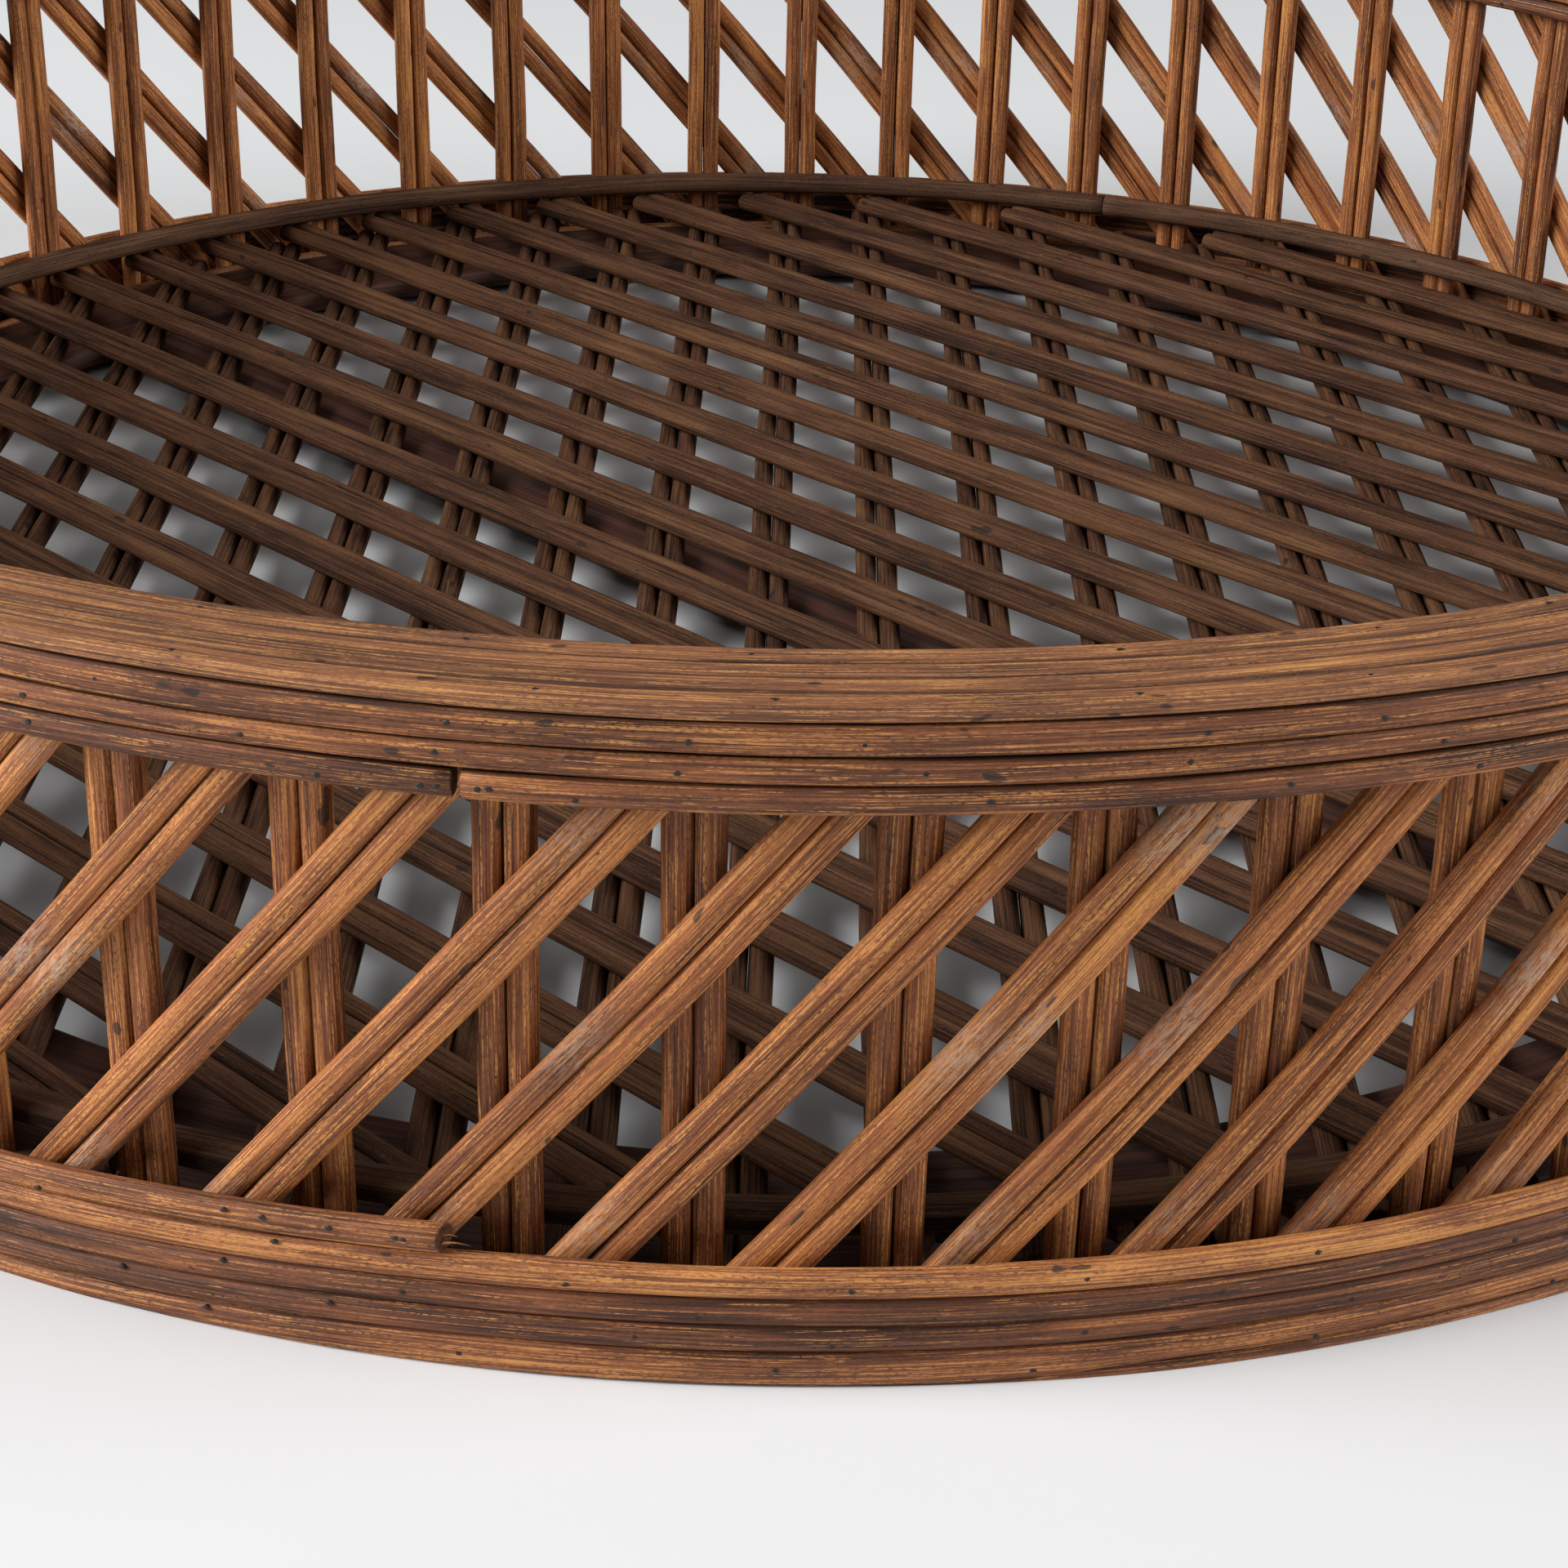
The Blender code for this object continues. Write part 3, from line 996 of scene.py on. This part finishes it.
def placed_brads(rng, turns, radius, height):
    """Brads driven from outside at chosen azimuths."""
    made = []
    for turn in turns:
        outward, along = directions_at(turn)
        centre = outward * radius
        centre[2] = height + rng.uniform(-PLACED_STRAY_UP, PLACED_STRAY_UP)
        made.append(brad(rng, centre, outward, along))
    return made


def build_rim_brads(rng, material):
    """Brads through the rim's rows, beside its open joint and into its top."""
    made = []
    for row in BRAD_ROWS:
        _, outer, low, high = ring_sizes(f"rim_outer_hoop_{row}")
        middle = 0.5 * (low + high)
        made += ring_brads(rng, RIM_BRADS, RIM_OUTER_START * row, outer, middle, 1.0)
        inner, _, low, high = ring_sizes(f"rim_inner_hoop_{row}")
        middle = 0.5 * (low + high)
        made += ring_brads(rng, RIM_BRADS, RIM_INNER_START * row, inner, middle, -1.0)
    joint, _ = open_joint(JOINTED_HOOP)
    _, outer, low, high = ring_sizes(JOINTED_HOOP)
    beside = [joint + distance / outer for distance in JOINT_BRADS]
    made += placed_brads(rng, beside, outer, 0.5 * (low + high))
    for node in ("rim_outer_hoop_1", "rim_inner_hoop_1"):
        made += top_brads(rng, node)
    add_piece("rim_brads", made, material, [])


def build_foot_brads(rng, material):
    """Brads through the foot's rows and along its loose end."""
    made = []
    grooves = foot_grooves()
    _, radius, _, _ = ring_sizes("foot_band")
    for row, (low, high) in enumerate(zip(grooves[:-1], grooves[1:])):
        middle = 0.5 * (low + high)
        made += ring_brads(rng, FOOT_BRADS, FOOT_START * row, radius, middle, 1.0)
    tail = [foot_end() - distance / radius for distance in TAIL_BRADS]
    made += placed_brads(rng, tail, radius, grooves[-1] + TAIL_BRAD_SHARE * FOOT_PITCH)
    add_piece("foot_brads", made, material, [])


def build_brads(material):
    """Brads through the hoops of the rim and the foot."""
    rng = random.Random(BRAD_SEED)
    build_rim_brads(rng, material)
    build_foot_brads(rng, material)


# ------------ materials


class Nodes:
    """A short way to write a material's nodes."""

    def __init__(self, name):
        self.material = bpy.data.materials.new(name)
        self.material.use_nodes = True
        self.tree = self.material.node_tree
        self.shader = self.tree.nodes["Principled BSDF"]

    def add(self, kind, inputs=(), **settings):
        """Adds a node, sets its properties and fills its inputs with numbers or links."""
        node = self.tree.nodes.new(kind)
        for key, value in settings.items():
            setattr(node, key, value)
        for socket, value in dict(inputs).items():
            self.fill(node.inputs[socket], value)
        return node

    def fill(self, socket, value):
        """Links a socket to another one, or gives it a number or a colour."""
        if isinstance(value, bpy.types.NodeSocket):
            self.tree.links.new(value, socket)
        else:
            socket.default_value = value

    def attribute(self, name, output="Fac"):
        """A value that the mesh carries."""
        return self.add("ShaderNodeAttribute", attribute_name=name).outputs[output]

    def noise(self, vector, along, across, detail, roughness):
        """Noise with so many waves per metre along and across the grain."""
        stretch = (along, across, across)
        scaled = self.add(
            "ShaderNodeVectorMath", {0: vector, 1: stretch}, operation="MULTIPLY"
        ).outputs[0]
        made = self.add(
            "ShaderNodeTexNoise",
            {"Vector": scaled, "Scale": 1.0, "Detail": detail, "Roughness": roughness},
        )
        return made.outputs["Fac"]

    def multiply(self, first, second):
        """The product of two values."""
        made = self.add("ShaderNodeMath", {0: first, 1: second}, operation="MULTIPLY")
        return made.outputs[0]

    def multiply_add(self, value, share, more):
        """A share of a value, added to another value."""
        made = self.add(
            "ShaderNodeMath", {0: value, 1: share, 2: more}, operation="MULTIPLY_ADD"
        )
        return made.outputs[0]

    def between(self, value, low, high, to_low=0.0, to_high=1.0):
        """A smooth step of a value from low to high."""
        made = self.add(
            "ShaderNodeMapRange",
            {
                "Value": value,
                "From Min": low,
                "From Max": high,
                "To Min": to_low,
                "To Max": to_high,
            },
            interpolation_type="SMOOTHSTEP",
        )
        return made.outputs["Result"]

    def mix(self, share, colour, other):
        """A colour with a share of another constant colour in it."""
        made = self.add("ShaderNodeMix", data_type="RGBA")
        share_socket, colour_socket, other_socket = (made.inputs[at] for at in MIX_INPUTS)
        self.fill(share_socket, share)
        self.fill(colour_socket, colour)
        self.fill(other_socket, (*other, 1.0))
        return made.outputs[MIX_OUTPUT]

    def ramp(self, value, stops):
        """A colour picked by a value among (place, colour) stops."""
        made = self.add("ShaderNodeValToRGB", {"Fac": value})
        scale = made.color_ramp
        for place, colour in stops[1:-1]:
            scale.elements.new(place).color = (*colour, 1.0)
        for end in (0, -1):
            scale.elements[end].position = stops[end][0]
            scale.elements[end].color = (*stops[end][1], 1.0)
        return made.outputs["Color"]

    def finish(self, colour, roughness, height=None, bump=None):
        """Gives the shader its colour, roughness and any bump, and returns the material."""
        self.fill(self.shader.inputs["Base Color"], colour)
        self.fill(self.shader.inputs["Roughness"], roughness)
        if height is not None:
            bumped = self.add("ShaderNodeBump", {"Height": height, **bump})
            self.fill(self.shader.inputs["Normal"], bumped.outputs[0])
        return self.material


def cane(name, dark, middle, light, streak, rough=0.58, gloss=0.28, pale=0.5, groove_dirt_and_shade=0.85):
    """Stained cane: fibres along the reed, pale and dark streaks, dirt and painted shade in
    the grooves.

    pale is the share of yellow streaks, and the last argument is the strength of the dark
    grooves, which paint shade as well as dirt.
    """
    nodes = Nodes(name)
    grain = nodes.attribute("grain", "Vector")
    noises = {key: nodes.noise(grain, *sizes) for key, sizes in CANE_NOISES.items()}
    tone = nodes.multiply(nodes.attribute("tone"), TONE_SHARE)
    level = tone
    for key, share in LEVEL_SHARES:
        level = nodes.multiply_add(noises[key], share, level)
    colour = nodes.ramp(level, tuple(zip(STAIN_STOPS, (dark, middle, light, streak))))

    # pale streaks, broken up by the speckle
    grainy = nodes.between(noises["speckle"], *SPECKLE_LEVELS)
    low, high = (edge - PALE_SHIFT * pale for edge in STREAK_LEVELS)
    for key, strength in STREAK_STRENGTHS:
        streaks = nodes.multiply_add(tone, STREAK_TONE, noises[key])
        yellow = nodes.multiply(nodes.between(streaks, low, high), grainy)
        colour = nodes.mix(nodes.multiply(yellow, strength), colour, streak)

    # pores, blotches, grooves darkened with dirt and painted shade, and worn spots
    pits = nodes.between(noises["pores"], *PORE_LEVELS)
    colour = nodes.mix(nodes.multiply(pits, PORE_STRENGTH), colour, dark)
    spots = nodes.between(noises["blotches"], *BLOTCH_LEVELS, 0.0, BLOTCH_STRENGTH)
    colour = nodes.mix(spots, colour, BLOTCH)
    black = tuple(GROOVE_SHARE * part for part in dark)
    # painted shade and dirt darken the grooves where reeds touch, along the crease attribute
    colour = nodes.mix(nodes.multiply(nodes.attribute("crease"), groove_dirt_and_shade), colour, black)
    scuffed = nodes.between(noises["scuffs"], *SCUFF_LEVELS)
    scuffed = nodes.multiply(scuffed, nodes.attribute("wear"))
    colour = nodes.mix(nodes.multiply(scuffed, SCUFF_STRENGTH), colour, SCUFF)

    nodes.shader.inputs["Specular IOR Level"].default_value = gloss
    ends = (rough + CANE_ROUGHER, rough - CANE_SMOOTHER)
    shine = nodes.between(noises["fibres"], *SHINE_LEVELS, *ends)
    ridges = nodes.multiply_add(noises["speckle"], SPECKLE_RIDGES, noises["fibres"])
    return nodes.finish(colour, shine, ridges, CANE_BUMP)


def board(name, dark, middle):
    """Dark stained board under the floor, with a soft long grain."""
    nodes = Nodes(name)
    grain = nodes.attribute("grain", "Vector")
    rings = nodes.noise(grain, *RING_NOISE)
    fine = nodes.noise(grain, *FINE_NOISE)
    level = nodes.multiply_add(fine, FINE_SHARE, nodes.multiply(rings, RING_SHARE))
    colour = nodes.ramp(level, tuple(zip(BOARD_STOPS, (dark, middle))))
    shine = nodes.between(fine, *SHINE_LEVELS, *BOARD_ROUGHNESS)
    return nodes.finish(colour, shine, level, BOARD_BUMP)


def brad_steel(name):
    """Dull dark steel heads, browner where torn fibres stand round them."""
    nodes = Nodes(name)
    spots = nodes.noise(nodes.attribute("grain", "Vector"), *STEEL_NOISE)
    colour = nodes.mix(nodes.attribute("crease"), nodes.ramp(spots, STEEL_STOPS), TORN_FIBRES)
    shine = nodes.between(spots, *SHINE_LEVELS, *STEEL_ROUGHNESS)
    return nodes.finish(colour, shine)


def pale_floor(name):
    """A plain pale floor with a barely visible unevenness."""
    nodes = Nodes(name)
    place = nodes.add("ShaderNodeTexCoord").outputs["Object"]
    cloud = nodes.noise(place, *FLOOR_NOISE)
    return nodes.finish(nodes.ramp(cloud, FLOOR_STOPS), FLOOR_ROUGHNESS)


# ------------ stage


def build_floor_plane():
    """A wide floor under the basket's foot."""
    mesh = bpy.data.meshes.new("pale_floor")
    low = cad_low.z - FLOOR_BELOW
    corners = [
        (-FLOOR_HALF, -FLOOR_HALF, low),
        (FLOOR_HALF, -FLOOR_HALF, low),
        (FLOOR_HALF, FLOOR_HALF, low),
        (-FLOOR_HALF, FLOOR_HALF, low),
    ]
    mesh.from_pydata(corners, [], [(0, 1, 2, 3)])
    mesh.materials.append(pale_floor("pale_floor"))
    floor = bpy.data.objects.new("pale_floor", mesh)
    bpy.context.scene.collection.objects.link(floor)


def build_lights():
    """A faint white sky and two large soft lamps, the stronger one on the left."""
    world = bpy.data.worlds.new("studio")
    world.use_nodes = True
    sky = world.node_tree.nodes["Background"]
    sky.inputs["Color"].default_value = SKY_COLOUR
    sky.inputs["Strength"].default_value = SKY_STRENGTH
    bpy.context.scene.world = world
    for name, place, size, power in LAMPS:
        lamp = bpy.data.lights.new(name, "AREA")
        lamp.shape = "DISK"
        lamp.size = size
        lamp.energy = power
        item = bpy.data.objects.new(name, lamp)
        item.location = place
        aim = Vector(LAMP_AIM) - Vector(place)
        item.rotation_euler = aim.to_track_quat("-Z", "Y").to_euler()
        bpy.context.scene.collection.objects.link(item)


def build_camera():
    """A long lens close to the front of the rim, looking down at the front wall."""
    camera = bpy.data.cameras.new("front_view")
    camera.sensor_width = SENSOR
    camera.lens = LENS
    camera.clip_start = CAMERA_CLIP
    item = bpy.data.objects.new("front_view", camera)
    forward = Vector(
        (
            math.sin(CAMERA_YAW) * math.cos(CAMERA_PITCH),
            math.cos(CAMERA_YAW) * math.cos(CAMERA_PITCH),
            -math.sin(CAMERA_PITCH),
        )
    )
    right = Vector((math.cos(CAMERA_YAW), -math.sin(CAMERA_YAW), 0.0))
    up = right.cross(forward)
    rolled_right = math.cos(CAMERA_ROLL) * right + math.sin(CAMERA_ROLL) * up
    rolled_up = -math.sin(CAMERA_ROLL) * right + math.cos(CAMERA_ROLL) * up
    turn = Matrix((rolled_right, rolled_up, -forward)).transposed().to_4x4()
    radius = cad_high.x
    place = Vector((0.0, -CAMERA_DISTANCE * radius, CAMERA_HEIGHT * radius))
    item.matrix_world = Matrix.Translation(place) @ turn
    bpy.context.scene.collection.objects.link(item)
    bpy.context.scene.camera = item


# ------------ making

hoop_cane = cane(
    "hoop_cane",
    dark=(0.050, 0.023, 0.015),
    middle=(0.150, 0.055, 0.027),
    light=(0.29, 0.100, 0.041),
    streak=(0.76, 0.34, 0.100),
    groove_dirt_and_shade=0.95,
)
sanded_cane = cane(
    "sanded_cane",
    dark=(0.074, 0.035, 0.022),
    middle=(0.190, 0.078, 0.039),
    light=(0.305, 0.122, 0.056),
    streak=(0.76, 0.36, 0.115),
    rough=0.56,
)
upright_cane = cane(
    "upright_cane",
    dark=(0.056, 0.022, 0.012),
    middle=(0.200, 0.066, 0.026),
    light=(0.36, 0.120, 0.042),
    streak=(0.78, 0.36, 0.100),
    groove_dirt_and_shade=0.6,
)
slant_cane = cane(
    "slant_cane",
    dark=(0.075, 0.027, 0.012),
    middle=(0.230, 0.073, 0.027),
    light=(0.41, 0.138, 0.044),
    streak=(0.80, 0.36, 0.100),
    pale=0.7,
    groove_dirt_and_shade=0.3,
)
# The floor reeds are darker than the wall's: partly a darker stain, partly painted shade of
# the floor deep inside the basket.
floor_cane_with_painted_shade = cane(
    "floor_cane_with_painted_shade",
    dark=(0.020, 0.009, 0.006),
    middle=(0.066, 0.029, 0.016),
    light=(0.120, 0.053, 0.028),
    streak=(0.20, 0.10, 0.04),
    rough=0.72,
    gloss=0.12,
    pale=0.0,
    groove_dirt_and_shade=0.6,
)
# The floor-edge hoop is as dark as the floor reeds: partly a darker stain, partly painted
# shade where the hoop lies in the basket's shadow.
edge_cane_with_painted_shade = cane(
    "edge_cane_with_painted_shade",
    dark=(0.020, 0.010, 0.007),
    middle=(0.060, 0.029, 0.018),
    light=(0.105, 0.051, 0.030),
    streak=(0.18, 0.10, 0.05),
    rough=0.72,
    gloss=0.12,
    pale=0.0,
    groove_dirt_and_shade=0.8,
)
under_board = board("under_board", (0.035, 0.012, 0.008), (0.14, 0.050, 0.028))
steel = brad_steel("brad_steel")

build_rim(hoop_cane, sanded_cane)
filler_rng = random.Random(FILLER_SEED)
build_filler(filler_rng, "wall_slants", "rim_filler_outer", sanded_cane)
build_filler(filler_rng, "wall_uprights", "rim_filler_inner", sanded_cane)
build_wall(upright_cane, slant_cane)
build_foot(hoop_cane)
build_hidden_hoops(hoop_cane, edge_cane_with_painted_shade)
build_floor(floor_cane_with_painted_shade)
build_boards(under_board)
build_brads(steel)
build_floor_plane()
build_lights()
build_camera()
